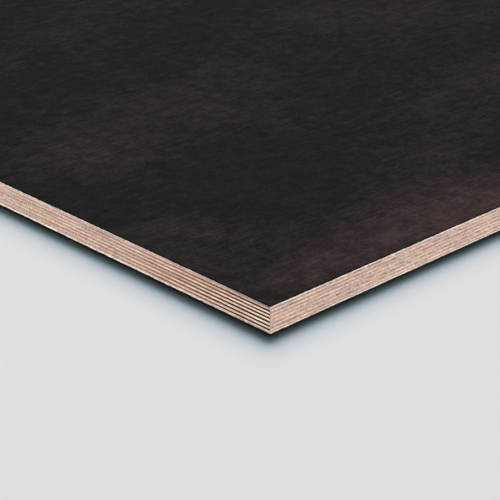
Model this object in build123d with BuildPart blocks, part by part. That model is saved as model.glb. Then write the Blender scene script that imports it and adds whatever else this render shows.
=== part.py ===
from build123d import *
import os

# A sheet of film-faced birch plywood, 21 mm thick, as sold for concrete formwork.
#
# Birch veneers are laid one on the next with their grain crossed, and pressed together hot.
# A film of paper soaked in dark resin is pressed on each face in the same step.
# The sheet is then sawn to size, so each edge shows the ends of one set of veneers and the
# sides of the other.
#
# The sheet lies flat. The origin is the middle of its underside, X runs along the grain of
# the two face veneers, Y runs across it, and Z points up.

# Sheet, in millimetres
sheet_length = 2500.0
sheet_width = 1250.0

# Lay-up
veneer_count = 15  # odd, so that the grain of both face veneers runs the same way
veneer_thickness = 1.38
film_thickness = 0.15

# Sawn edges
fibre_tear = 0.10  # where the saw cuts across the grain, it tears the fibres this far back

# Core veneers are clipped into strips and laid side by side, and some joints stay open.
# Each open joint runs along the grain from one end of its veneer to the other.
joint_gap = 1.6
open_joints = {5: 62.0, 6: 66.0, 9: 75.0}  # veneer, from the underside: joint to veneer's side


def grain_runs_along_sheet(number):
    """True for the odd veneers, the two face veneers among them."""
    return number % 2 == 1


def veneer_underside(number):
    """Height of a veneer's underside. Veneer 1 lies on the bottom film."""
    return film_thickness + (number - 1) * veneer_thickness


def make_veneer(number):
    """One layer of veneer, drawn with its grain along X and then turned by its plane."""
    if grain_runs_along_sheet(number):
        grain_length = sheet_length
        width = sheet_width
        turn = 0
    else:
        grain_length = sheet_width
        width = sheet_length
        turn = -90

    with BuildPart() as veneer:
        with BuildSketch(Plane.XY.offset(veneer_underside(number)).rotated((0, 0, turn))):
            Rectangle(grain_length - 2 * fibre_tear, width)
            if number in open_joints:
                with Locations((0, open_joints[number] - width / 2)):
                    Rectangle(grain_length, joint_gap, mode=Mode.SUBTRACT)
        extrude(amount=veneer_thickness)

    veneer.part.label = f"veneer_{number:02d}"
    return veneer.part


def make_film(label, underside):
    """One resin film. It is sawn with the sheet, so it has the sheet's full outline."""
    with BuildPart() as film:
        with BuildSketch(Plane.XY.offset(underside)):
            Rectangle(sheet_length, sheet_width)
        extrude(amount=film_thickness)

    film.part.label = label
    return film.part


# The pieces, in the order in which they are laid on the press
lay_up = [make_film("bottom_film", 0)]
for number in range(1, veneer_count + 1):
    lay_up.append(make_veneer(number))
lay_up.append(make_film("top_film", veneer_underside(veneer_count + 1)))

os.makedirs("parts", exist_ok=True)
for piece in lay_up:
    export_step(piece, f"parts/{piece.label}.step")

sheet_thickness = veneer_underside(veneer_count + 1) + film_thickness
print(f"{len(lay_up)} pieces, {sheet_length} x {sheet_width} x {sheet_thickness:.2f} mm")
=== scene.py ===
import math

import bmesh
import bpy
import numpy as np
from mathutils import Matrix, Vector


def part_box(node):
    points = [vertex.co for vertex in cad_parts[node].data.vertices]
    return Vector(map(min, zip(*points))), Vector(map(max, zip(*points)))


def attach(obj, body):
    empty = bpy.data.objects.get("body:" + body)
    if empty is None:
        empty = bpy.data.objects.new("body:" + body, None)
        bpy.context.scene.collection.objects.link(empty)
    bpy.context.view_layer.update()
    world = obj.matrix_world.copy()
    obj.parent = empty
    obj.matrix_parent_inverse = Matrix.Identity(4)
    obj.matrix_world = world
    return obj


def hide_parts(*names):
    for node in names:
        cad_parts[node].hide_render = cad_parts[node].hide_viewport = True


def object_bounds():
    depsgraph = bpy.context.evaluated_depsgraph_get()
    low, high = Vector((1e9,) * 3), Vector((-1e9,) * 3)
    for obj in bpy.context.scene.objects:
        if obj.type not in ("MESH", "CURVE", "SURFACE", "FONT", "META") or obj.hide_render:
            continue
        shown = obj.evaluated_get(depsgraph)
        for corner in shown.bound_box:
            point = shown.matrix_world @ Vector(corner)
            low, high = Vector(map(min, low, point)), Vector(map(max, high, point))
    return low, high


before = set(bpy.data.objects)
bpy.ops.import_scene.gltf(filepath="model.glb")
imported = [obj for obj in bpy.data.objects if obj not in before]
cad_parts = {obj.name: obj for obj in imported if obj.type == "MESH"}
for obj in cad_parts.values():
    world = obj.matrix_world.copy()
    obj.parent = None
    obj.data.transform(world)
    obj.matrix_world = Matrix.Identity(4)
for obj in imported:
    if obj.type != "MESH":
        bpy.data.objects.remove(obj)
cad_low, cad_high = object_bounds()

# %% [markdown]
# ## A film-faced plywood sheet
#
# The sheet is fifteen birch veneers, glued with their grain crossed, between two films of dark
# resin. It lies flat with its long side along X. A saw has laid the lay-up bare on all four
# edges. They are what tells this sheet from a plain board, so most of the work goes there.
#
# The frame gives every size. Blender's unit is the metre, so a millimetre gets a name.

MM = 0.001

veneer_nodes = sorted(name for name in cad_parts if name.startswith("veneer"))
first_low, first_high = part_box(veneer_nodes[0])
veneer_thickness = first_high.z - first_low.z
photo_corner = Vector((cad_low.x, cad_low.y, 0.0))

size = cad_high - cad_low
print(f"sheet {size.x / MM:.0f} x {size.y / MM:.0f} x {size.z / MM:.1f} mm")
print(f"{len(veneer_nodes)} veneers of {veneer_thickness / MM:.2f} mm")

# %% [markdown]
# ## Camera
#
# The picture is taken from close by with a long lens, so lines that are parallel on the sheet
# stay nearly parallel in the picture. A camera can be set by eye, but this one was solved from
# the four straight edge lines of the wood: they fix the lens, the angles and the distance.
# Azimuth turns the view about the upright, and elevation is how steeply it looks down.

# %% Camera
camera_from_corner = Vector((-645.16, -652.16, 482.06)) * MM
azimuth = math.radians(-43.825)
elevation = math.radians(24.563)
roll = math.radians(-0.034)

camera_data = bpy.data.cameras.new("photo_camera")
camera_data.sensor_width = 36.0
camera_data.lens = 110.05
camera = bpy.data.objects.new("photo_camera", camera_data)
camera.location = photo_corner + camera_from_corner
camera.rotation_euler = (math.pi / 2 - elevation, roll, azimuth)
bpy.context.scene.collection.objects.link(camera)
bpy.context.scene.camera = camera
bpy.context.scene.view_settings.view_transform = "Standard"
print("camera at", [round(v, 4) for v in camera.location])

# %% [markdown]
# ## Working in edit mode from code
#
# An operator acts on all that is selected, so each step first selects just what it needs.
# Selecting by place or by direction keeps working when a size changes, which a list of
# vertex numbers would not.

# %% Selecting
def pick(piece):
    """Makes one piece the active and the only selected object."""
    bpy.ops.object.select_all(action="DESELECT")
    piece.select_set(True)
    bpy.context.view_layer.objects.active = piece


def edit(piece):
    """Opens one piece in edit mode, with nothing in it selected."""
    pick(piece)
    bpy.ops.object.mode_set(mode="EDIT")
    bpy.ops.mesh.select_all(action="DESELECT")


def choose(kind, wanted):
    """Selects the "edges" or "faces" of the open mesh that pass the test, and nothing else."""
    bpy.ops.mesh.select_mode(type={"edges": "EDGE", "faces": "FACE"}[kind])
    bpy.ops.mesh.select_all(action="DESELECT")
    mesh = bpy.context.active_object.data
    for part in getattr(bmesh.from_edit_mesh(mesh), kind):
        if wanted(part):
            part.select_set(True)
    bmesh.update_edit_mesh(mesh)


def middle(edge):
    return (edge.verts[0].co + edge.verts[1].co) / 2


def inward(place, low, high):
    """How far a place lies inside the outline of a box, seen from above."""
    return min(place.x - low.x, high.x - place.x, place.y - low.y, high.y - place.y)

# %% [markdown]
# ## A blank for each kind of layer
#
# A veneer is only seen along its sawn edges. The CAD solid has one long flat face there, which
# is right for size but gives a saw nothing to tear and a press nothing to bend. A denser mesh
# all over would cost millions of faces that nobody sees. So the blank is a grid whose middle
# is taken out and closed again with one flat face. What stays is a rim of small cells, whose
# outer edge is divided once more in the part that the camera looks at.
#
# One face with thousands of corners is split into long slivers when it is rendered, and rays
# find their way through those very slowly. Bisecting it into large squares is a cheap cure.
# Each blank is modelled once and then copied for every layer of its kind.

# %% Blank
cell = 5 * MM
large_cell = 125 * MM
close_up_cuts = 7
close_up = Vector((190 * MM, 240 * MM))  # how far the picture reaches along X and along Y


def in_close_up(place):
    """True of a place on the sheet's outline that shows in the picture."""
    from_corner = place - photo_corner
    return from_corner.x < close_up.x and from_corner.y < close_up.y


def split_middle(low, high, axis):
    """Bisects what is selected into bands as wide as a large cell, one axis at a time."""
    bands = round((high[axis] - low[axis]) / large_cell)
    across = Vector((axis == 0, axis == 1, 0))
    for n in range(1, bands):
        place = low + (high - low) * n / bands
        bpy.ops.mesh.bisect(plane_co=place, plane_no=across)
        choose("faces", lambda face: inward(face.calc_center_median(), low, high) > cell)


def make_blank(name, low, high):
    """A flat outline at height 0: small cells along its edges, large ones inside."""
    wide = high - low
    bpy.ops.object.select_all(action="DESELECT")
    bpy.ops.mesh.primitive_grid_add(
        x_subdivisions=round(wide.x / cell),
        y_subdivisions=round(wide.y / cell),
        size=1,
        calc_uvs=False,
    )
    blank = bpy.context.active_object
    blank.name = name
    blank.location = ((low.x + high.x) / 2, (low.y + high.y) / 2, 0)
    blank.scale = (wide.x, wide.y, 1)
    bpy.ops.object.transform_apply()

    edit(blank)
    choose("faces", lambda face: inward(face.calc_center_median(), low, high) > cell)
    bpy.ops.mesh.delete(type="FACE")
    choose("edges", lambda edge: edge.is_boundary and inward(middle(edge), low, high) > cell / 2)
    bpy.ops.mesh.edge_face_add()
    choose("faces", lambda face: len(face.verts) > 4)
    split_middle(low, high, 0)
    split_middle(low, high, 1)
    choose("edges", lambda edge: edge.is_boundary and in_close_up(middle(edge)))
    bpy.ops.mesh.subdivide(number_cuts=close_up_cuts)
    bpy.ops.object.mode_set(mode="OBJECT")
    print(f"{name}: {len(blank.data.vertices)} vertices, {len(blank.data.polygons)} faces")
    return blank


along_blank = make_blank("blank_grain_along", *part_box("veneer_01"))
across_blank = make_blank("blank_grain_across", *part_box("veneer_02"))
film_blank = make_blank("blank_film", *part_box("top_film"))

# %% [markdown]
# ## From blank to layer
#
# Core veneers are clipped into strips, and where two strips don't meet, an open joint runs
# from edge to edge. The frame says where, because a veneer with a joint has vertices between
# its two sides. Two bisects cut the blank there and the faces between them are deleted. Only
# then is the layer given its thickness, so that the joint gets its own walls.
#
# The upright edges are then divided into rows, which the torn end grain needs.

# %% Layers
edge_rows = 4


def copy_blank(blank, name, height):
    """A copy of the blank with a mesh of its own, at the height of its underside."""
    pick(blank)
    bpy.ops.object.duplicate()
    piece = bpy.context.active_object
    piece.name = name
    piece.data.name = name
    piece.location.z = height
    bpy.ops.object.transform_apply()
    return piece


def joint_sides(node, across):
    """The two sides of the open joint in a CAD veneer, or an empty list if it has none."""
    places = {round(vertex.co[across], 5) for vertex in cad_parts[node].data.vertices}
    return sorted(places)[1:-1]


def open_joint(piece, across, sides):
    """Cuts the flat piece along both sides of the joint and takes out what is between."""
    edit(piece)
    for side in sides:
        cut = Vector((0, 0, 0))
        cut[across] = 1
        bpy.ops.mesh.select_all(action="SELECT")
        bpy.ops.mesh.bisect(plane_co=cut * side, plane_no=cut)
    choose("faces", lambda face: sides[0] < face.calc_center_median()[across] < sides[1])
    bpy.ops.mesh.delete(type="FACE")
    bpy.ops.object.mode_set(mode="OBJECT")


def thicken(piece, thickness, rows):
    """Makes the flat piece a closed solid, with its upright edges divided into rows."""
    edit(piece)
    bpy.ops.mesh.select_all(action="SELECT")
    bpy.ops.mesh.extrude_region_move(TRANSFORM_OT_translate={"value": (0, 0, thickness)})
    bpy.ops.mesh.select_all(action="SELECT")
    bpy.ops.mesh.normals_make_consistent(inside=False)
    if rows > 1:
        choose("edges", lambda edge: abs(edge.verts[0].co.z - edge.verts[1].co.z) > thickness / 2)
        bpy.ops.mesh.subdivide(number_cuts=rows - 1)
    bpy.ops.object.mode_set(mode="OBJECT")


def layer_number(node):
    return int(node[-2:])


def grain_axis(node):
    """0 where the grain runs along X, 1 where it runs along Y."""
    return 0 if layer_number(node) % 2 else 1


veneers = {}
for node in veneer_nodes:
    low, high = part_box(node)
    across = 1 - grain_axis(node)
    blank = (along_blank, across_blank)[grain_axis(node)]
    veneer = copy_blank(blank, f"birch_{node}", low.z)
    sides = joint_sides(node, across)
    if sides:
        open_joint(veneer, across, sides)
        print(f"{node} has an open joint at {'xy'[across]} = {sides[0] / MM:.1f} mm")
    thicken(veneer, high.z - low.z, edge_rows)
    veneers[node] = veneer

films = {}
for node in ("bottom_film", "top_film"):
    low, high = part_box(node)
    film = copy_blank(film_blank, f"resin_{node}", low.z)
    thicken(film, high.z - low.z, 1)
    films[node] = film

for blank in (along_blank, across_blank, film_blank):
    bpy.data.objects.remove(blank)
print(f"{len(veneers)} veneers and {len(films)} films")

# %% [markdown]
# ## What each point of a veneer knows
#
# The materials have to know two things that a place alone doesn't tell: which veneer a point
# belongs to, and how high it lies between the two glue lines. Both are kept as attributes on
# the mesh, before the next step bends the layers out of the flat.

# %% Attributes
def numbers_of(collection, name, width):
    """A property of every vertex, face or corner of a mesh, as one array."""
    values = np.empty(len(collection) * width, np.float32)
    collection.foreach_get(name, values)
    return values.reshape(-1, width)


def write_attribute(mesh, name, values):
    mesh.attributes.new(name, "FLOAT", "POINT").data.foreach_set("value", values)


for node, veneer in veneers.items():
    low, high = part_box(node)
    heights = (numbers_of(veneer.data.vertices, "co", 3)[:, 2] - low.z) / (high.z - low.z)
    write_attribute(veneer.data, "height_in_veneer", heights.clip(0, 1))
    write_attribute(veneer.data, "veneer_number", np.full(len(heights), layer_number(node), "f"))

# %% [markdown]
# ## Pressed and sawn
#
# In the hot press the layers give way to each other, so no glue line is quite straight. Each
# glue line gets one cloud texture, and a Displace modifier moves both veneers that meet there
# by it. Because they read the same texture at the same places, they still touch all along.
# Weights run from one at the glue line to nothing at the veneer's other face. The picture shows
# the second veneer from the underside thinner than the rest, so a table gives the glue lines
# from there on a drop as well.
#
# Along the grain's ends the saw tears fibres out. A much finer cloud texture pushes those
# faces in and out, never past the saw's own cut.

# %% Waves and torn fibres
wave_height = 0.45 * MM
shortest_wave = 34  # millimetres
wave_step = 2.3  # millimetres by which the next glue line's waves are longer
glue_line_drop = {2: 0.55 * MM, 3: 0.50 * MM, 4: 0.40 * MM, 5: 0.30 * MM, 6: 0.15 * MM}
tear_depth = 0.30 * MM
tear_size = 1.1 * MM
tear_level = 0.62  # the cloud value at which a fibre stays where the CAD has it
held_by_glue = 0.4  # the share of the tear that reaches the fibres at a glue line
on_outline = cell / 100  # a vertex this near to the outline counts as lying on it


def cloud_texture(name, cloud_size):
    texture = bpy.data.textures.new(name, "CLOUDS")
    texture.noise_scale = cloud_size
    texture.noise_depth = 2
    return texture


def weigh(piece, name, weights):
    """A vertex group with these weights. Vertices with no weight stay out of it."""
    group = piece.vertex_groups.new(name=name)
    for weight in np.unique(weights[weights > 0]):
        group.add(np.flatnonzero(weights == weight).tolist(), float(weight), "REPLACE")


def displace(piece, texture, direction, strength, group, mid_level):
    """Moves a vertex group by a texture, as the Displace modifier does, and applies it."""
    modifier = piece.modifiers.new(group, "DISPLACE")
    modifier.texture = texture
    modifier.texture_coords = "LOCAL"
    modifier.direction = direction
    modifier.strength = strength
    modifier.mid_level = mid_level
    modifier.vertex_group = group
    pick(piece)
    bpy.ops.object.modifier_apply(modifier=modifier.name)


def rest_level(glue_line):
    """The cloud value at which a glue line stays level. A higher one presses it down."""
    return 0.5 + glue_line_drop.get(glue_line, 0) / wave_height


glue_lines = {}
for n in range(1, len(veneers)):
    glue_lines[n] = cloud_texture(f"glue_line_{n}", (shortest_wave + wave_step * n) * MM)
torn_fibres = cloud_texture("torn_fibres", tear_size)

for node, veneer in veneers.items():
    number = layer_number(node)
    axis = grain_axis(node)
    low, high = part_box(node)
    place = numbers_of(veneer.data.vertices, "co", 3)
    height = np.round((place[:, 2] - low.z) / (high.z - low.z), 3)
    inside = np.minimum(place - np.array(low), np.array(high) - place)[:, :2].min(axis=1)
    on_edge = inside < on_outline

    if number < len(veneers):
        weigh(veneer, "upper_glue_line", height * on_edge)
        displace(veneer, glue_lines[number], "Z", wave_height, "upper_glue_line", rest_level(number))
    if number > 1:
        weigh(veneer, "lower_glue_line", (1 - height) * on_edge)
        level = rest_level(number - 1)
        displace(veneer, glue_lines[number - 1], "Z", wave_height, "lower_glue_line", level)

    for end, outwards in (("low_end", -1), ("high_end", 1)):
        limit = (low, high)[outwards > 0][axis]
        at_end = np.abs(place[:, axis] - limit) < on_outline
        loose = np.where((height > 0) & (height < 1), 1.0, held_by_glue)
        weigh(veneer, end, at_end * loose)
        displace(veneer, torn_fibres, "XY"[axis], outwards * tear_depth, end, tear_level)
    veneer.vertex_groups.clear()

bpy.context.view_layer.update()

# %% [markdown]
# ## Smooth where it bends, sharp where it is cut
#
# Shading by angle keeps the arrises and the joint walls sharp and lets the light run on over
# the waves and the torn ends.

# %% Shading and bodies
sharp_from = math.radians(40)

for node, piece in {**veneers, **films}.items():
    pick(piece)
    bpy.ops.object.shade_smooth_by_angle(angle=sharp_from)
    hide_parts(node)
    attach(piece, "root")
triangles = sum(len(face.vertices) - 2 for v in veneers.values() for face in v.data.polygons)
print(f"{triangles} triangles in the veneers")

# %% [markdown]
# ## Shader nodes in short
#
# A node tree built in code is long when every node and link takes its own lines. A few small
# helpers keep each material short enough to be read from top to bottom: each one adds a node
# and hands back the socket that the next one needs.

# %% Node helpers
def add_node(tree, kind, inputs=None, **settings):
    """A node with its settings, and with a value or another node's output on each named input."""
    node = tree.nodes.new(kind)
    for setting, value in settings.items():
        setattr(node, setting, value)
    for socket, value in (inputs or {}).items():
        if isinstance(value, bpy.types.NodeSocket):
            tree.links.new(value, node.inputs[socket])
        else:
            node.inputs[socket].default_value = value
    return node


def calculate(tree, operation, *values):
    """The result of a Math node on numbers or sockets."""
    node = add_node(tree, "ShaderNodeMath", dict(enumerate(values)), operation=operation)
    return node.outputs["Value"]


def spread(tree, value, low, high):
    """A value between 0 and 1 stretched so that it runs from low to high."""
    return calculate(tree, "MULTIPLY_ADD", value, high - low, low)


def product(tree, first, *others):
    """Several values multiplied."""
    for other in others:
        first = calculate(tree, "MULTIPLY", first, other)
    return first


def ramp(tree, value, start, end, low=0.0, high=1.0):
    """A value that eases from low at the start to high at the end, and stays there."""
    ends = {"Value": value, "From Min": start, "From Max": end, "To Min": low, "To Max": high}
    node = add_node(tree, "ShaderNodeMapRange", ends, interpolation_type="SMOOTHSTEP")
    return node.outputs["Result"]


def stretched(tree, value, low=0.0, high=1.0):
    """A noise made to run from low to high. Few of its values lie outside 0.3 to 0.7."""
    return ramp(tree, value, 0.3, 0.7, low, high)


def swing(tree, value, amount):
    """A noise made into a shade that swings by this amount on both sides of 1."""
    return stretched(tree, value, 1 - amount, 1 + amount)


def vector(tree, operation, first, second, output="Vector"):
    """The result of a Vector Math node on two vectors."""
    node = add_node(tree, "ShaderNodeVectorMath", {0: first, 1: second}, operation=operation)
    return node.outputs[output]


def axes(tree, place):
    """The X, Y and Z of a vector, as three values."""
    return add_node(tree, "ShaderNodeSeparateXYZ", {0: place}).outputs


def mixed(tree, factor, first, second):
    """Two colours mixed, each given as a triple or as a socket."""
    pair = [(*c, 1) if isinstance(c, tuple) else c for c in (first, second)]
    inputs = {"Factor": factor, 6: pair[0], 7: pair[1]}
    return add_node(tree, "ShaderNodeMix", inputs, data_type="RGBA").outputs[2]


def shaded(tree, colour, shade):
    """A colour made lighter or darker by a value."""
    inputs = {0: colour, "Scale": shade}
    return add_node(tree, "ShaderNodeVectorMath", inputs, operation="SCALE").outputs["Vector"]


def noise(tree, place, lump, detail=2.0, roughness=0.5, seed=0.0):
    """Smooth noise between 0 and 1, with lumps about as large as the given size in metres."""
    inputs = {"Vector": place, "W": seed, "Scale": 1 / lump, "Detail": detail}
    inputs["Roughness"] = roughness
    node = add_node(tree, "ShaderNodeTexNoise", inputs, noise_dimensions="4D")
    return node.outputs["Fac"]

# %% [markdown]
# ## Groups and materials in short
#
# A node group is a tree of its own, with named sockets at both ends. One helper makes a group
# and one uses it. Two more open a material and link its finish to the shader.

# %% Groups and materials
VECTOR = ("NodeSocketVector", None)
NUMBER = "NodeSocketFloat"


def new_group(name, inputs, outputs):
    """A node group with named sockets: its tree, what comes in by name, and its end node."""
    tree = bpy.data.node_groups.new(name, "ShaderNodeTree")
    for label, (kind, value) in inputs.items():
        socket = tree.interface.new_socket(label, in_out="INPUT", socket_type=kind)
        if kind == NUMBER:
            socket.default_value = value
    for label in outputs:
        tree.interface.new_socket(label, in_out="OUTPUT", socket_type=NUMBER)
    start = tree.nodes.new("NodeGroupInput")
    end = tree.nodes.new("NodeGroupOutput")
    return tree, start.outputs, end.inputs


def place_group(tree, group, **inputs):
    """One use of a node group, with what goes in by name, and its outputs."""
    node = add_node(tree, "ShaderNodeGroup", node_tree=group)
    for socket, value in inputs.items():
        if isinstance(value, bpy.types.NodeSocket):
            tree.links.new(value, node.inputs[socket])
        else:
            node.inputs[socket].default_value = value
    return node.outputs


def new_material(name):
    """An empty material: its node tree and the Principled shader on its output."""
    material = bpy.data.materials.new(name)
    material.use_nodes = True
    tree = material.node_tree
    tree.nodes.clear()
    shader = add_node(tree, "ShaderNodeBsdfPrincipled")
    add_node(tree, "ShaderNodeOutputMaterial", {"Surface": shader.outputs["BSDF"]})
    return material, tree, shader


def finish(tree, shader, colour, roughness, relief, strength, distance):
    """Links a finish to its shader: colour, roughness, and relief as a bump."""
    tree.links.new(colour, shader.inputs["Base Color"])
    tree.links.new(roughness, shader.inputs["Roughness"])
    inputs = {"Height": relief, "Strength": strength, "Distance": distance}
    bump = add_node(tree, "ShaderNodeBump", inputs)
    tree.links.new(bump.outputs["Normal"], shader.inputs["Normal"])

# %% [markdown]
# ## Grain streaks
#
# Wood fibres are long and thin, so their pattern is noise pulled out along the grain. Along a
# sawn edge the fibres run level, whichever way the edge faces, so the noise is stretched by the
# same length along X and Y and squeezed in height. A material whose grain runs another way
# turns the place before it goes in.

# %% Grain streaks
grain_streaks, given, result = new_group(
    "grain streaks",
    {"Place": VECTOR, "Length": (NUMBER, 0.03), "Width": (NUMBER, 0.0004), "Seed": (NUMBER, 0)},
    ["Streaks"],
)
fibre = add_node(
    grain_streaks,
    "ShaderNodeCombineXYZ",
    {"X": given["Length"], "Y": given["Length"], "Z": given["Width"]},
)
pulled = vector(grain_streaks, "DIVIDE", given["Place"], fibre.outputs["Vector"])
streaks = noise(grain_streaks, pulled, 1.0, detail=3, roughness=0.6, seed=given["Seed"])
grain_streaks.links.new(streaks, result["Streaks"])
print("node groups:", [group.name for group in bpy.data.node_groups])

# %% [markdown]
# ## Saw marks
#
# A circular saw leaves faint slanted ridges, evenly spaced but never quite alike. X plus Y is a
# length along the edge on all four sides, because one of the two stands still on each. Adding
# some of the height slants the ridges, and noise makes them wander and come and go.

# %% Saw marks
ridge_slant = 0.6
ridge_wander = 2.5

saw_marks, given, result = new_group(
    "saw marks", {"Place": VECTOR, "Spacing": (NUMBER, 0.003)}, ["Marks"]
)
here = axes(saw_marks, given["Place"])
along = calculate(saw_marks, "ADD", here["X"], here["Y"])
along = calculate(saw_marks, "MULTIPLY_ADD", here["Z"], ridge_slant, along)
turns = calculate(saw_marks, "DIVIDE", along, given["Spacing"])
wander = noise(saw_marks, given["Place"], 12 * MM, detail=1)
turns = calculate(saw_marks, "MULTIPLY_ADD", wander, ridge_wander, turns)
ridges = calculate(saw_marks, "SINE", product(saw_marks, turns, 2 * math.pi))
seen = ramp(saw_marks, noise(saw_marks, given["Place"], 30 * MM, seed=5), 0.35, 0.7)
marks = product(saw_marks, ridges, seen, 0.5)
saw_marks.links.new(calculate(saw_marks, "ADD", marks, 0.5), result["Marks"])

# %% [markdown]
# ## Scorch
#
# Where the blade dwells it heats the wood, and end grain browns first. The picture shows the
# left end nearly black at the corner, and the brown dying away along it over some 20 cm. The
# front has only a trace. Heat dies away by the same share in each centimetre, so the fade is
# an exponential. The rest of the outline, which the picture doesn't show, gets scorch that
# comes and goes, more of it on the two ends.

# %% Scorch
scorch_reach = 90 * MM
left_share = 1.25
front_share = 0.15
unseen_from = 300 * MM
unseen_share = 0.2, 0.5  # on the two long sides, and on the two ends

saw_scorch, given, result = new_group("saw scorch", {"Place": VECTOR}, ["Scorch"])
from_corner = vector(saw_scorch, "SUBTRACT", given["Place"], tuple(photo_corner))
here = axes(saw_scorch, from_corner)
away = calculate(saw_scorch, "MAXIMUM", here["X"], here["Y"])
on_left_end = calculate(saw_scorch, "LESS_THAN", here["X"], here["Y"])
fade = calculate(saw_scorch, "EXPONENT", product(saw_scorch, away, -1 / scorch_reach))
at_corner = product(saw_scorch, fade, spread(saw_scorch, on_left_end, front_share, left_share))

from_middle = vector(saw_scorch, "ABSOLUTE", given["Place"], (0, 0, 0))
end_begins = size.x / 2 - 2 * MM
on_an_end = calculate(saw_scorch, "GREATER_THAN", axes(saw_scorch, from_middle)["X"], end_begins)
patches = ramp(saw_scorch, noise(saw_scorch, given["Place"], 160 * MM, detail=3), 0.4, 0.7)
unseen = ramp(saw_scorch, away, unseen_from, 2 * unseen_from)
elsewhere = product(saw_scorch, patches, unseen, spread(saw_scorch, on_an_end, *unseen_share))
scorch = calculate(saw_scorch, "MAXIMUM", at_corner, elsewhere)
saw_scorch.links.new(scorch, result["Scorch"])

# %% [markdown]
# ## What the lay-up does to an edge
#
# Every veneer comes from another log, so each is a little lighter or darker, pinker or
# yellower than the next, and its colour drifts along the sheet. Some take the scorch more
# readily too. Between two veneers there is a hair of dark resin glue, and the films have bled
# into the outermost wood. All of this follows from the two attributes.

# %% Lay-up
tone_seed = 0
tone_range = 0.97, 1.07
heat_seed = 17067
glue_share = 0.02, 0.12
bleed_share = 0.02, 0.34

lay_up, given, result = new_group(
    "lay-up",
    {"Place": VECTOR, "Height": (NUMBER, 0.5), "Number": (NUMBER, 1)},
    ["Glue", "Bleed", "Tone", "Pink", "Heat", "Lowest", "Highest"],
)


def own_value(seed):
    """A random value between 0 and 1 that is the same all over one veneer."""
    picked = calculate(lay_up, "ADD", given["Number"], seed)
    inputs = {"W": picked}
    node = add_node(lay_up, "ShaderNodeTexWhiteNoise", inputs, noise_dimensions="1D")
    return node.outputs["Value"]


below_top = calculate(lay_up, "SUBTRACT", 1.0, given["Height"])
to_glue = calculate(lay_up, "MINIMUM", given["Height"], below_top)
glue_seen = spread(lay_up, noise(lay_up, given["Place"], 6 * MM), *glue_share)
lay_up.links.new(calculate(lay_up, "LESS_THAN", to_glue, glue_seen), result["Glue"])

lowest = calculate(lay_up, "LESS_THAN", given["Number"], 1.5)
highest = calculate(lay_up, "GREATER_THAN", given["Number"], len(veneers) - 0.5)
to_low_film = calculate(lay_up, "ADD", given["Height"], spread(lay_up, lowest, 1.0, 0.0))
to_high_film = calculate(lay_up, "ADD", below_top, spread(lay_up, highest, 1.0, 0.0))
to_film = calculate(lay_up, "MINIMUM", to_low_film, to_high_film)
bled = noise(lay_up, given["Place"], 4 * MM, detail=3, roughness=0.7, seed=3)
bled = spread(lay_up, stretched(lay_up, bled), *bleed_share)
lay_up.links.new(calculate(lay_up, "LESS_THAN", to_film, bled), result["Bleed"])
lay_up.links.new(lowest, result["Lowest"])
lay_up.links.new(highest, result["Highest"])

log_seed = product(lay_up, given["Number"], 3.7)
own_drift = noise(lay_up, given["Place"], 55 * MM, seed=log_seed)
own_hue = noise(lay_up, given["Place"], 24 * MM, seed=log_seed)
shared_hue = noise(lay_up, given["Place"], 30 * MM, seed=9)
own_tone = spread(lay_up, own_value(tone_seed), *tone_range)
tone = product(lay_up, own_tone, swing(lay_up, own_drift, 0.09))
pink = calculate(lay_up, "ADD", product(lay_up, own_hue, 0.6), product(lay_up, shared_hue, 0.4))
lay_up.links.new(tone, result["Tone"])
lay_up.links.new(ramp(lay_up, pink, 0.33, 0.67), result["Pink"])
lay_up.links.new(own_value(heat_seed), result["Heat"])


def wood_inputs(tree):
    """What both birch edge materials start from: the place, the lay-up, the saw and scorch."""
    place = add_node(tree, "ShaderNodeTexCoord").outputs["Object"]
    height = add_node(tree, "ShaderNodeAttribute", attribute_name="height_in_veneer").outputs["Fac"]
    number = add_node(tree, "ShaderNodeAttribute", attribute_name="veneer_number").outputs["Fac"]
    layers = place_group(tree, lay_up, Place=place, Height=height, Number=number)
    marks = place_group(tree, saw_marks, Place=place)["Marks"]
    scorch = place_group(tree, saw_scorch, Place=place)["Scorch"]
    return place, number, layers, marks, scorch

# %% [markdown]
# ## Birch cut along its grain
#
# Where the saw runs along the fibres it leaves a smooth, pale stripe. Birch is creamy with a
# pink cast, has fine darker fibres, and short dark dashes where the saw opens a pore lengthways.
# Next to the scorched layers these stripes stay clean and look paler still, but the one below
# the upper face veneer is dulled by the heat. The two face veneers are the whitest.

# %% Birch side grain
glue_brown = (0.17, 0.095, 0.06)
film_bleed = (0.022, 0.014, 0.012)
pore_brown = (0.36, 0.22, 0.15)
yellow_cream = (0.835, 0.610, 0.465)
pink_cream = (0.840, 0.578, 0.505)
clean_cream = (0.82, 0.635, 0.51)
upper_white = (0.85, 0.74, 0.67)
lower_white = (0.91, 0.80, 0.73)
lightest_shade = 1.3

side_grain, tree, shader = new_material("birch side grain")
place, number, layers, marks, scorch = wood_inputs(tree)


def streaks_of(length, width):
    """Grain streaks of this size in the open material, different on every veneer."""
    inputs = {"Place": place, "Length": length * MM, "Width": width * MM, "Seed": number}
    return place_group(tree, grain_streaks, **inputs)["Streaks"]


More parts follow.
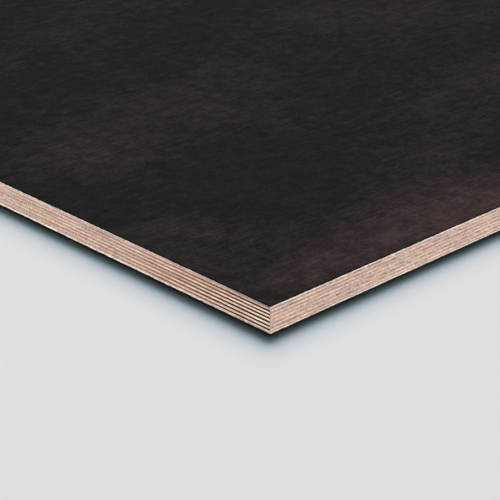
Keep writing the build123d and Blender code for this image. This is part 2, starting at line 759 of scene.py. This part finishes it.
fibres = streaks_of(26, 0.35)
bands = streaks_of(20, 1.0)
flecks = streaks_of(3, 0.9)
pores = streaks_of(5, 0.12)
colour = mixed(tree, layers["Pink"], yellow_cream, pink_cream)
colour = mixed(tree, layers["Highest"], colour, upper_white)
colour = mixed(tree, layers["Lowest"], colour, lower_white)
deeper = calculate(tree, "LESS_THAN", number, len(veneers) - 1.5)
upper_two = spread(tree, deeper, 1.0, 0.0)
beside_scorch = product(tree, scorch, scorch, deeper)
colour = mixed(tree, product(tree, beside_scorch, 0.8), colour, clean_cream)
shade = product(
    tree,
    spread(tree, fibres, 0.78, 1.0),
    stretched(tree, bands, 0.76, 1.21),
    stretched(tree, flecks, 0.72, 1.24),
    spread(tree, marks, 0.98, 1.04),
    layers["Tone"],
    spread(tree, beside_scorch, 1.0, 1.18),
    spread(tree, product(tree, scorch, upper_two), 1.0, 0.8),
)
colour = shaded(tree, colour, calculate(tree, "MINIMUM", shade, lightest_shade))
colour = mixed(tree, ramp(tree, pores, 0.62, 0.7, 0, 0.45), colour, pore_brown)
colour = mixed(tree, product(tree, layers["Glue"], 0.55), colour, glue_brown)
colour = mixed(tree, layers["Bleed"], colour, film_bleed)
shader.inputs["Specular IOR Level"].default_value = 0.2
roughness = stretched(tree, fibres, 0.62, 0.74)
relief = calculate(tree, "MULTIPLY_ADD", fibres, 0.5, marks)
finish(tree, shader, colour, roughness, relief, 0.35, 0.08 * MM)
print(side_grain.name, "has", len(tree.nodes), "nodes")

# %% [markdown]
# ## Birch cut across its grain
#
# Across the fibres the saw tears rather than cuts. The surface is rough, so it looks darker,
# and it is dotted with pore ends. Peeling has bent the veneer flat and opened lathe checks,
# short cracks that lean all one way. Heat turns it from tan through brown to char, so two
# mixes follow each other, one for each half of the scorch.

# %% Birch end grain
yellow_tan = (0.565, 0.425, 0.320)
pink_tan = (0.565, 0.395, 0.350)
scorched_brown = (0.262, 0.112, 0.066)
char = (0.036, 0.013, 0.006)
upper_face = (0.68, 0.585, 0.53)
upper_face_scorched = (0.20, 0.155, 0.135)
lower_face = (0.93, 0.81, 0.745)
lower_face_scorched = (0.5, 0.4, 0.34)

end_grain, tree, shader = new_material("birch end grain")
place, number, layers, marks, scorch = wood_inputs(tree)
dots = noise(tree, place, 0.35 * MM, detail=2, roughness=0.7)
tufts = noise(tree, place, 2 * MM, detail=3, roughness=0.6, seed=number)
runs = streaks_of(12, 1.5)
squeezed = vector(tree, "MULTIPLY", place, (1, 1, 3))
checks = place_group(tree, saw_marks, Place=squeezed, Spacing=1.1 * MM)["Marks"]

patchy = swing(tree, runs, 0.38)
burnt = product(tree, scorch, patchy, spread(tree, layers["Heat"], 0.8, 1.2))
browned = calculate(tree, "MINIMUM", product(tree, burnt, 2.0), 1.0)
charred = calculate(tree, "MAXIMUM", spread(tree, burnt, -1.0, 1.0), 0.0)
charred = calculate(tree, "MINIMUM", charred, 1.0)
shade = product(
    tree,
    spread(tree, dots, 0.75, 1.25),
    swing(tree, tufts, 0.34),
    swing(tree, runs, 0.26),
    ramp(tree, checks, 0.75, 0.95, 1.0, 0.72),
    layers["Tone"],
)
tan = mixed(tree, layers["Pink"], yellow_tan, pink_tan)
colour = mixed(tree, charred, mixed(tree, browned, tan, scorched_brown), char)
pale = mixed(tree, product(tree, scorch, 0.8), upper_face, upper_face_scorched)
white = mixed(tree, product(tree, scorch, 0.75), lower_face, lower_face_scorched)
colour = mixed(tree, layers["Highest"], colour, pale)
colour = mixed(tree, layers["Lowest"], colour, white)
colour = shaded(tree, colour, shade)
colour = mixed(tree, product(tree, layers["Glue"], 0.5), colour, glue_brown)
colour = mixed(tree, layers["Bleed"], colour, film_bleed)
shader.inputs["Specular IOR Level"].default_value = 0.08
roughness = stretched(tree, dots, 0.75, 0.9)
relief = calculate(tree, "ADD", dots, tufts)
finish(tree, shader, colour, roughness, relief, 0.6, 0.2 * MM)
print(end_grain.name, "has", len(tree.nodes), "nodes")

# %% [markdown]
# ## Faces inside the sheet
#
# The flat faces of the veneers are hidden, and only show if someone takes the sheet apart. They
# are birch with glue stains, with little contrast, because the export has few pixels to
# spare for them. The walls of an open joint do show. Little light gets in there, so they are
# given a nearly black colour, which is painted shade.

# %% Glued faces and joint walls
def stain_and_painted_shade(name, lump, first, second, roughness):
    """A dull finish that drifts between two colours, used for glue stains and for painted shade."""
    material, tree, shader = new_material(name)
    place = add_node(tree, "ShaderNodeTexCoord").outputs["Object"]
    cloud = noise(tree, place, lump)
    fine = noise(tree, place, 0.8 * MM, detail=3)
    colour = mixed(tree, cloud, first, second)
    finish(tree, shader, colour, ramp(tree, cloud, 0, 1, roughness, 0.9), fine, 0.3, 0.1 * MM)
    shader.inputs["Specular IOR Level"].default_value = 0.2
    return material


glued_face = stain_and_painted_shade("birch glued face", 90 * MM, (0.40, 0.27, 0.19), (0.46, 0.32, 0.23), 0.7)
# The joint walls' nearly black colour is painted shade for the little light that gets into the gap.
joint_painted_shade = stain_and_painted_shade("painted shade in the joints", 3 * MM, (0.035, 0.02, 0.013), (0.09, 0.05, 0.03), 0.6)

# %% [markdown]
# ## Which face is cut which way
#
# Each veneer carries the same four materials, and its faces are told apart by place and
# direction. A face that looks along the grain is end grain, and one that looks across it is
# side grain, or a joint wall if it lies well inside the outline. The rest look up or down.

# %% Faces and their materials
SIDE, END, GLUED, WALL = range(4)
facing = 0.7  # a face looks along an axis if this much of its normal or more lies along it


def assign_materials(veneer, axis, low, high):
    """Tells side grain, end grain, hidden faces and joint walls apart by place and direction."""
    mesh = veneer.data
    mesh.materials.clear()
    for material in (side_grain, end_grain, glued_face, joint_painted_shade):
        mesh.materials.append(material)
    looks = np.abs(numbers_of(mesh.polygons, "normal", 3))
    centre = numbers_of(mesh.polygons, "center", 3)
    inside = np.minimum(centre - np.array(low), np.array(high) - centre)[:, 1 - axis]
    which = np.where(looks[:, axis] > facing, END, SIDE)
    which = np.where((looks[:, 1 - axis] > facing) & (inside > cell), WALL, which)
    which = np.where(looks[:, 2] > facing, GLUED, which)
    mesh.polygons.foreach_set("material_index", which.astype(np.int32))
    return [int(count) for count in np.bincount(which, minlength=4)]


for node, veneer in veneers.items():
    counts = assign_materials(veneer, grain_axis(node), *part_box(node))
    print(f"{node}: {counts} faces of side grain, end grain, glued and joint wall")

# %% [markdown]
# ## Resin film
#
# The film is paper soaked in dark phenolic resin. It is charcoal where it is thick and brown
# with a red cast where the wood shines through. It takes on the grain of the veneer below it
# as fine streaks along X, and the paper's own fibres mottle it. Blotches and large soft clouds
# come from noise textures. A few more were placed where the picture shows them, each a
# soft round spot. The saw has rubbed the last two millimetres at the arris dull and dark.

# %% Resin film
charcoal = (0.0118, 0.0122, 0.0124)
red_brown = (0.046, 0.0285, 0.029)
arris_wear = 2.2 * MM

soft_spots = {  # in millimetres from the corner: centre, reach, and how much redder
    "red along the front": ((210, 15), (245, 68), 0.80),
    "pink behind the corner": ((75, 24), (75, 34), 0.45),
    "pale by the left end": ((52, 132), (42, 36), 0.28),
    "brown to the left": ((95, 310), (110, 90), 0.42),
    "charcoal in the middle": ((165, 165), (130, 95), -0.35),
    "charcoal on the left": ((20, 215), (70, 60), -0.30),
}

film_look, tree, shader = new_material("resin film")
place = add_node(tree, "ShaderNodeTexCoord").outputs["Object"]
from_corner = vector(tree, "SUBTRACT", place, tuple(photo_corner))
longer = vector(tree, "MULTIPLY", place, (0.6, 1, 1))
clouds = noise(tree, longer, 150 * MM, detail=4, roughness=0.55, seed=2)
redness = ramp(tree, clouds, 0.42, 0.75, 0.0, 0.45)
for (x, y), (reach_x, reach_y), amount in soft_spots.values():
    away = vector(tree, "SUBTRACT", from_corner, (x * MM, y * MM, size.z))
    away = vector(tree, "DIVIDE", away, (reach_x * MM, reach_y * MM, 1))
    away = vector(tree, "LENGTH", away, (0, 0, 0), "Value")
    redness = calculate(tree, "ADD", redness, ramp(tree, away, 0, 1, amount, 0))

here = axes(tree, place)
upright = {"X": here["X"], "Z": here["Y"]}
across_film = add_node(tree, "ShaderNodeCombineXYZ", upright).outputs["Vector"]


def film_streaks(length, width, seed):
    """Grain streaks along X, as wide in Y as the group makes them in height."""
    inputs = {"Place": across_film, "Length": length * MM, "Width": width * MM, "Seed": seed}
    return place_group(tree, grain_streaks, **inputs)["Streaks"]


long_streaks = film_streaks(34, 4.5, 1)
short_streaks = film_streaks(9, 2.0, 4)
mottle = noise(tree, place, 3 * MM, detail=3, roughness=0.65)
blotches = noise(tree, place, 11 * MM, detail=2, roughness=0.5, seed=6)
for pattern, amount in ((long_streaks, 0.2), (mottle, 0.15), (blotches, 0.22)):
    redness = calculate(tree, "ADD", redness, spread(tree, pattern, -amount, amount))
redness = calculate(tree, "MINIMUM", calculate(tree, "MAXIMUM", redness, 0), 1)
beside_edge = calculate(
    tree,
    "MINIMUM",
    calculate(tree, "SUBTRACT", size.x / 2, calculate(tree, "ABSOLUTE", here["X"])),
    calculate(tree, "SUBTRACT", size.y / 2, calculate(tree, "ABSOLUTE", here["Y"])),
)
shade = product(
    tree,
    swing(tree, long_streaks, 0.14),
    swing(tree, short_streaks, 0.15),
    swing(tree, blotches, 0.16),
    swing(tree, mottle, 0.24),
    ramp(tree, beside_edge, 0, arris_wear, 0.1, 1.0),
)
colour = shaded(tree, mixed(tree, redness, charcoal, red_brown), shade)
shader.inputs["Specular IOR Level"].default_value = 0.1
roughness = stretched(tree, short_streaks, 0.42, 0.52)
relief = calculate(tree, "ADD", long_streaks, short_streaks)
finish(tree, shader, colour, roughness, relief, 0.25, 0.1 * MM)

for film in films.values():
    film.data.materials.clear()
    film.data.materials.append(film_look)
print(film_look.name, "has", len(tree.nodes), "nodes")

# %% [markdown]
# ## Maps for the export
#
# The finishes are worked out at each point in space, so the picture needs no UV map. The export
# does, because it bakes every piece into a square picture. An edge 7.5 m round and 1.4 mm high
# is the worst shape for that, and an unwrap would leave it a fraction of a pixel high. So it is
# folded into rows, one above the other, as a long text is into lines. The flat faces inside the
# sheet get two low bands, because they hardly show. On a film it is the other way round: its
# outer face gets nearly all of the map.

# %% Maps
row_margin = 0.1
side_margin = 0.02
veneer_rows = 30
film_rows = 4
veneer_bands = {
    "edge": (0.20, 1.0),
    "far wall": (0.185, 0.195),
    "near wall": (0.17, 0.18),
    "upper": (0.085, 0.165),
    "lower": (0, 0.08),
}
film_bands = {
    "resin_top_film": {"edge": (0.95, 1.0), "upper": (0.06, 0.94), "lower": (0, 0.05)},
    "resin_bottom_film": {"edge": (0.95, 1.0), "lower": (0.06, 0.94), "upper": (0, 0.05)},
}


def whole_numbers_of(collection, name):
    values = np.empty(len(collection), np.int32)
    collection.foreach_get(name, values)
    return values


def kinds_of_face(mesh, across):
    """Names every face by where it is: on the edge, on a wall of a joint, or flat."""
    looks = numbers_of(mesh.polygons, "normal", 3)
    kinds = np.full(len(looks), "edge", dtype="U9")
    on_wall = whole_numbers_of(mesh.polygons, "material_index") == WALL
    kinds[on_wall & (looks[:, across] > 0)] = "near wall"
    kinds[on_wall & (looks[:, across] <= 0)] = "far wall"
    kinds[looks[:, 2] > facing] = "upper"
    kinds[looks[:, 2] < -facing] = "lower"
    return kinds


def way_round(place, centre, low, high):
    """How far round the outline each place is, counted along the side that its face lies on."""
    long, wide = high.x - low.x, high.y - low.y
    x, y = (place - np.array(low)).T[:2]
    to_left, to_front = (centre - np.array(low)).T[:2]
    to_right, to_back = (np.array(high) - centre).T[:2]
    side = np.stack([to_front, to_right, to_back, to_left]).argmin(axis=0)
    ways = np.stack([x, long + y, long + wide + long - x, 2 * (long + wide) - y])
    return np.take_along_axis(ways, side[None], axis=0)[0]


def in_band(u, v, band):
    """Shares of a band's width and height as places on the map."""
    return side_margin + (1 - 2 * side_margin) * u, band[0] + (band[1] - band[0]) * v


def add_map(piece, low, high, heights, across, bands, rows):
    """Lays every face of a piece out in the band of its kind, and the edge in folded rows."""
    mesh = piece.data
    vertex = whole_numbers_of(mesh.loops, "vertex_index")
    face = np.repeat(np.arange(len(mesh.polygons)), whole_numbers_of(mesh.polygons, "loop_total"))
    place = numbers_of(mesh.vertices, "co", 3)[vertex]
    centre = numbers_of(mesh.polygons, "center", 3)[face]
    kind = kinds_of_face(mesh, across)[face]
    height = heights[vertex]
    share = (place - np.array(low)) / np.array(high - low)

    outline = 2 * (high.x - low.x + high.y - low.y)
    row = np.floor(way_round(centre, centre, low, high) / outline * rows).clip(0, rows - 1)
    along_row = way_round(place, centre, low, high) / outline * rows - row
    up_rows = (row + row_margin + (1 - 2 * row_margin) * height) / rows
    places = np.stack(in_band(along_row, up_rows, bands["edge"]), axis=1)
    for name, band in bands.items():
        here = kind == name
        if name in ("upper", "lower"):
            places[here] = np.stack(in_band(share[:, 0], share[:, 1], band), axis=1)[here]
        elif name != "edge":
            places[here] = np.stack(in_band(share[:, 1 - across], height, band), axis=1)[here]
    layer = mesh.uv_layers.new(name="OFBake")
    layer.uv.foreach_set("vector", places.astype(np.float32).ravel())
    print(f"{piece.name}: map from {places.min(axis=0).round(3)} to {places.max(axis=0).round(3)}")


for node, veneer in veneers.items():
    heights = numbers_of(veneer.data.attributes["height_in_veneer"].data, "value", 1)[:, 0]
    across = 1 - grain_axis(node)
    add_map(veneer, *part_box(node), heights, across, veneer_bands, veneer_rows)
for node, film in films.items():
    low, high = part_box(node)
    heights = (numbers_of(film.data.vertices, "co", 3)[:, 2] - low.z) / (high.z - low.z)
    add_map(film, low, high, heights, 1, film_bands[film.name], film_rows)

# %% [markdown]
# ## Floor
#
# The sheet lies on a plain pale floor. What the camera sees of it is nearly white, but a floor
# that pale would throw a good deal of light back on the wood, so for every other ray it is
# grey. A Light Path node tells the two apart.

# %% Floor
floor_tone = 0.742
floor_seen = (floor_tone, floor_tone, floor_tone)
floor_lit = (0.3, 0.3, 0.3)
floor_width = 120.0

bpy.ops.object.select_all(action="DESELECT")
bpy.ops.mesh.primitive_plane_add(size=floor_width, location=(0, 0, 0))
floor = bpy.context.active_object
floor.name = "floor"
floor_look, tree, shader = new_material("pale floor")
path = add_node(tree, "ShaderNodeLightPath").outputs
tone = mixed(tree, path["Is Camera Ray"], floor_lit, floor_seen)
tree.links.new(tone, shader.inputs["Base Color"])
shader.inputs["Roughness"].default_value = 1.0
shader.inputs["Specular IOR Level"].default_value = 0.0
floor.data.materials.append(floor_look)

# %% [markdown]
# ## Lamps
#
# The picture has a deep shadow right under the two near edges and evenly lit wood above it. One
# lamp can't do both, so each lamp lights only what it is for, by light linking. Three lamps
# behind the sheet light the floor. The lower one throws the longer shadow, and because it is
# warm and the higher ones are cool, the shadow's soft rim turns blue as it does in the picture.
# A pair of soft fills lights the wood, one from the front and one from the back, and one lamp
# lights the film from above. Lamps as far off as the sun keep this the same all over the
# sheet. Their strength is set so that a colour renders about as it is written.

# %% Lamps
def lit_only(name, pieces):
    """A collection of the pieces that a lamp may light."""
    group = bpy.data.collections.new(name)
    for piece in pieces:
        group.objects.link(piece)
    return group


def add_sun(name, towards, light, spread_angle, lit):
    """A soft far lamp that gives a level surface this much red, green and blue light."""
    towards = Vector(towards).normalized()
    strongest = max(light)
    data = bpy.data.lights.new(name, "SUN")
    data.energy = strongest * math.pi
    data.color = [part / strongest for part in light]
    data.angle = math.radians(spread_angle)
    data.cycles.max_bounces = 0
    lamp = bpy.data.objects.new(name, data)
    lamp.rotation_euler = towards.to_track_quat("Z", "Y").to_euler()
    bpy.context.scene.collection.objects.link(lamp)
    lamp.light_linking.receiver_collection = lit
    print(f"{name}: {data.energy:.2f} W/m2 from {tuple(round(part, 2) for part in towards)}")


floor_only = lit_only("lit floor", [floor])
wood_only = lit_only("lit wood", veneers.values())
films_only = lit_only("lit films", films.values())

floor_lamps = {  # where from, with a height of 1; its share of the light; its width in degrees
    "low_warm_light": ((0.960, 0.905, 1), (0.590, 0.450, 0.340), 36),
    "middle_cool_light": ((0.580, 0.545, 1), (0.290, 0.370, 0.475), 24),
    "high_cool_light": ((0.300, 0.285, 1), (0.110, 0.172, 0.180), 28),
}
for name, (towards, share, width) in floor_lamps.items():
    slant = Vector(towards).length
    add_sun(name, towards, [part * slant for part in share], width, floor_only)

fill = 1.05
for name, towards in (("front_fill", (-1, -1, 0.6)), ("back_fill", (1, 1, 0.6))):
    slant = Vector(towards).length
    add_sun(name, towards, [fill * slant] * 3, 60, wood_only)
add_sun("film_light", (0, 0, 1), [1.0] * 3, 40, films_only)

# %% [markdown]
# ## World
#
# The world closes the picture behind the floor with the same tone. Next to nothing of it
# reaches the sheet: a faint warm light in the shadow, and a dim grey in what the film mirrors.

# %% World
faint_warm = (0.006, 0.005, 0.004)
dim_grey = (0.06, 0.06, 0.06)

world = bpy.data.worlds.new("studio")
bpy.context.scene.world = world
world.use_nodes = True
tree = world.node_tree
tree.nodes.clear()
path = add_node(tree, "ShaderNodeLightPath").outputs
tone = mixed(tree, path["Is Glossy Ray"], faint_warm, dim_grey)
tone = mixed(tree, path["Is Camera Ray"], tone, floor_seen)
sky = add_node(tree, "ShaderNodeBackground", {"Color": tone, "Strength": 1.0})
add_node(tree, "ShaderNodeOutputWorld", {"Surface": sky.outputs["Background"]})
